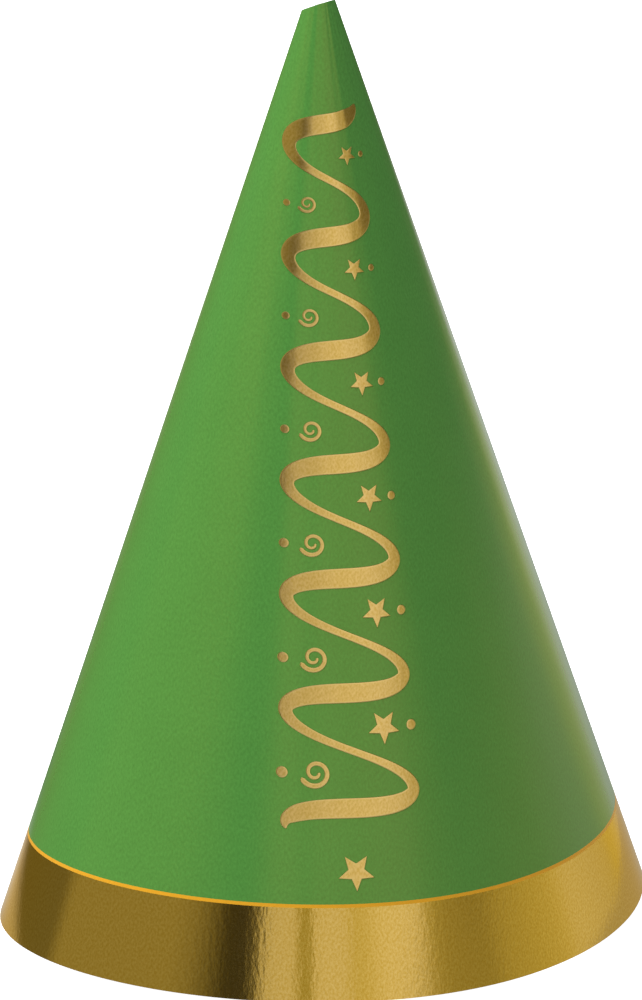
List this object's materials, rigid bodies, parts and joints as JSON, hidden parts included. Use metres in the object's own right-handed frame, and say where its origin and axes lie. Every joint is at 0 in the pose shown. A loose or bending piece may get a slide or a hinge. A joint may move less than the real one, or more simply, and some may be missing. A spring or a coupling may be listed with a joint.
{
  "type": "cone party hat",
  "caption": "Cone party hat of rolled card with a glued back lap, green print, a yellow keyline, a gold foil rim band and a gold foil streamer motif.",
  "frame": {"origin": "centre of the rim opening, at the height of the rim's lowest points, where the hat stands", "axes": "+Z along the cone's axis towards the tip; the motif faces -Y, the glued lap is at +Y, and the elastic holes are at +X and -X"},
  "size_m": [0.1178, 0.117, 0.1639],
  "materials": {
    "white_card": "matte",
    "green_ink": "satin",
    "yellow_ink": "satin",
    "gold_foil": "satin",
    "glue": "matte"
  },
  "bodies": {
    "root": {"board_cone": "white_card", "green_print": "green_ink", "keyline_print": "yellow_ink", "foil_rim_band": "gold_foil", "seam_glue": "glue", "foil_streamer": "gold_foil", "foil_curls": "gold_foil", "foil_stars": "gold_foil", "foil_dots": "gold_foil"}
  },
  "joints": []
}
